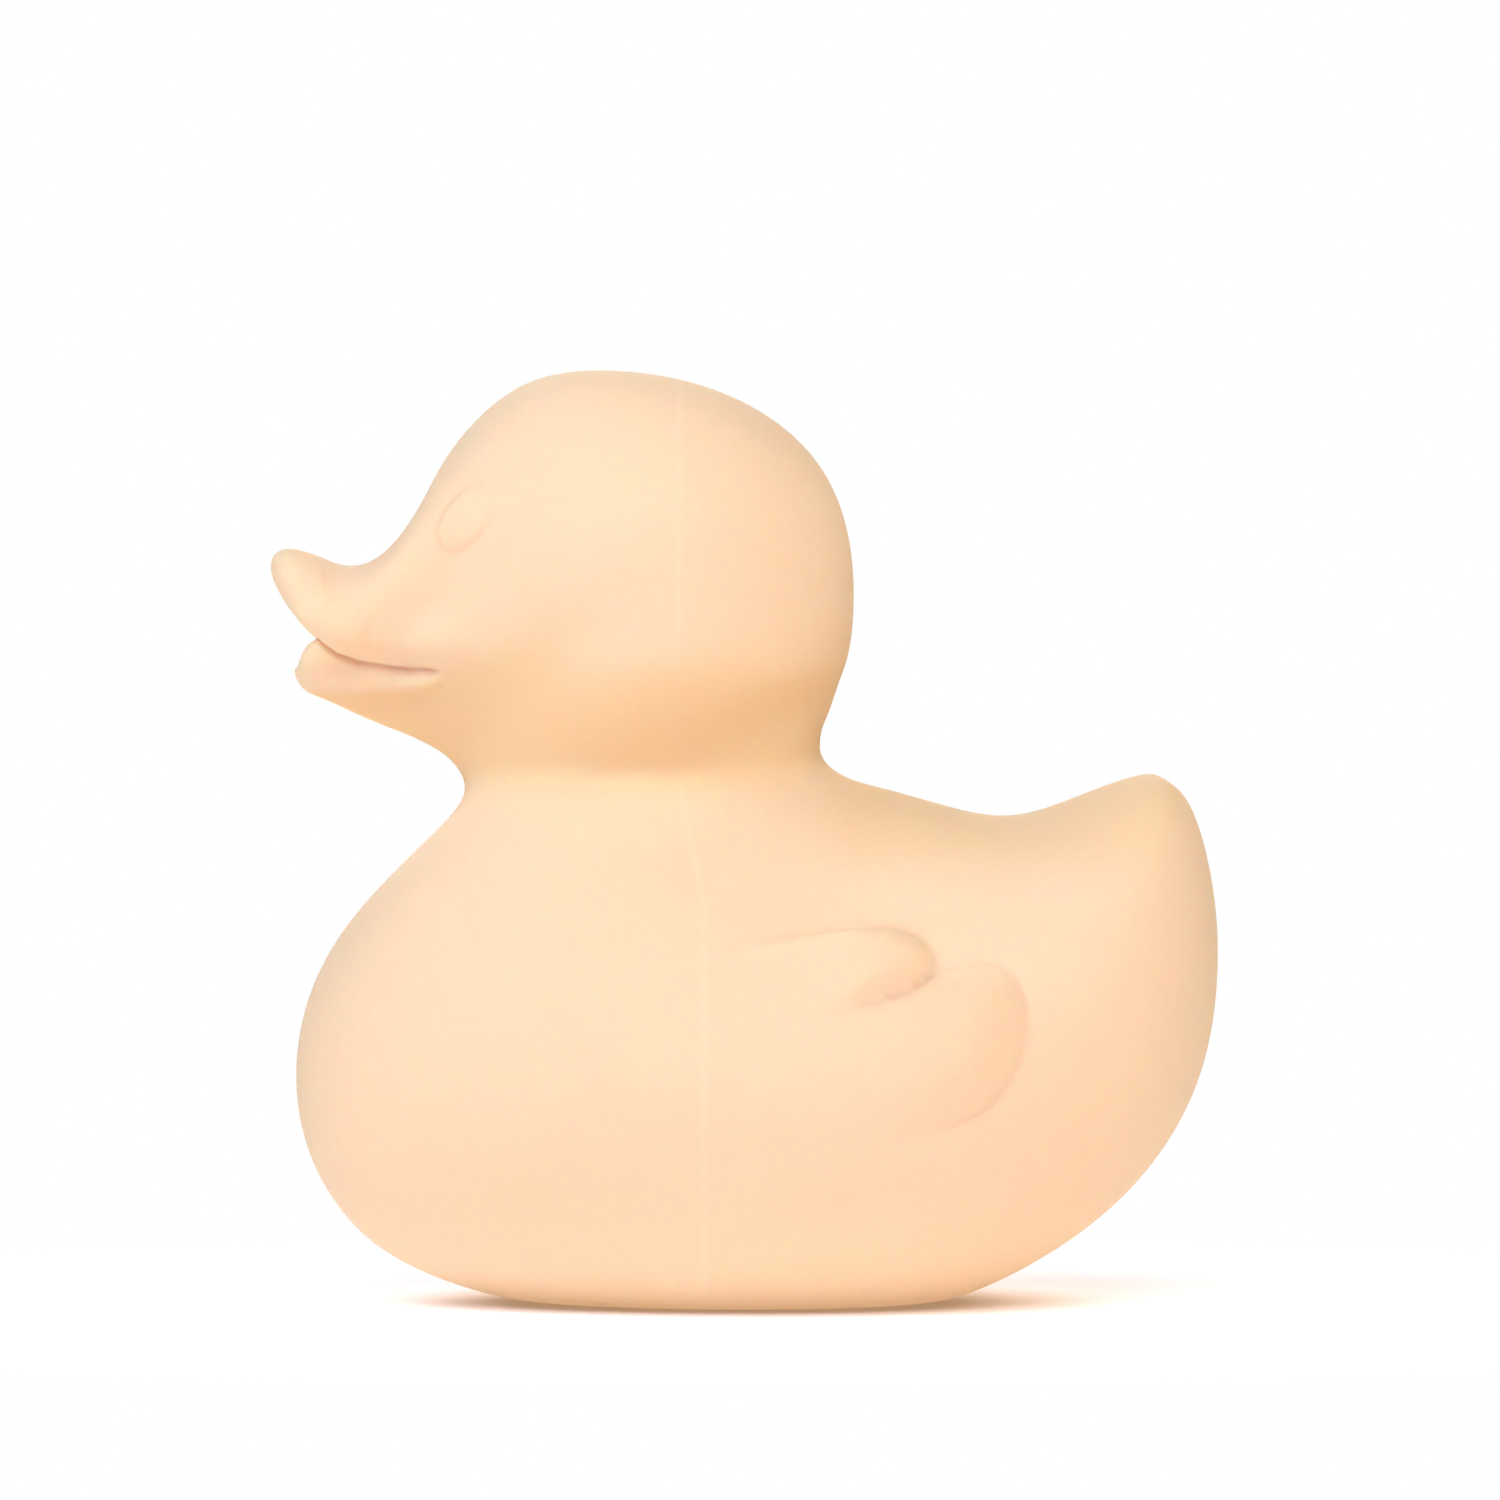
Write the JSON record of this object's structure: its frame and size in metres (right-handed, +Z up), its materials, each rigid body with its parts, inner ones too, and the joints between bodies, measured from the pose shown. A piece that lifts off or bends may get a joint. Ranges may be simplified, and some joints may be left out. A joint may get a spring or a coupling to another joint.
{
  "type": "rubber duck",
  "caption": "Moulded bath duck in plain pale rubber with a round head, upturned tail, raised wings and eyes, and a flat underside that it sits on.",
  "frame": {"origin": "on the ground under the middle of the bounding box", "axes": "beak toward -X, tail toward +X, +Z up, Y from one wing to the other"},
  "size_m": [0.1052, 0.0796, 0.1035],
  "materials": {
    "rubber": "matte, unpainted, cream to pale peach natural rubber"
  },
  "bodies": {
    "root": {"duck": "rubber"}
  },
  "joints": []
}
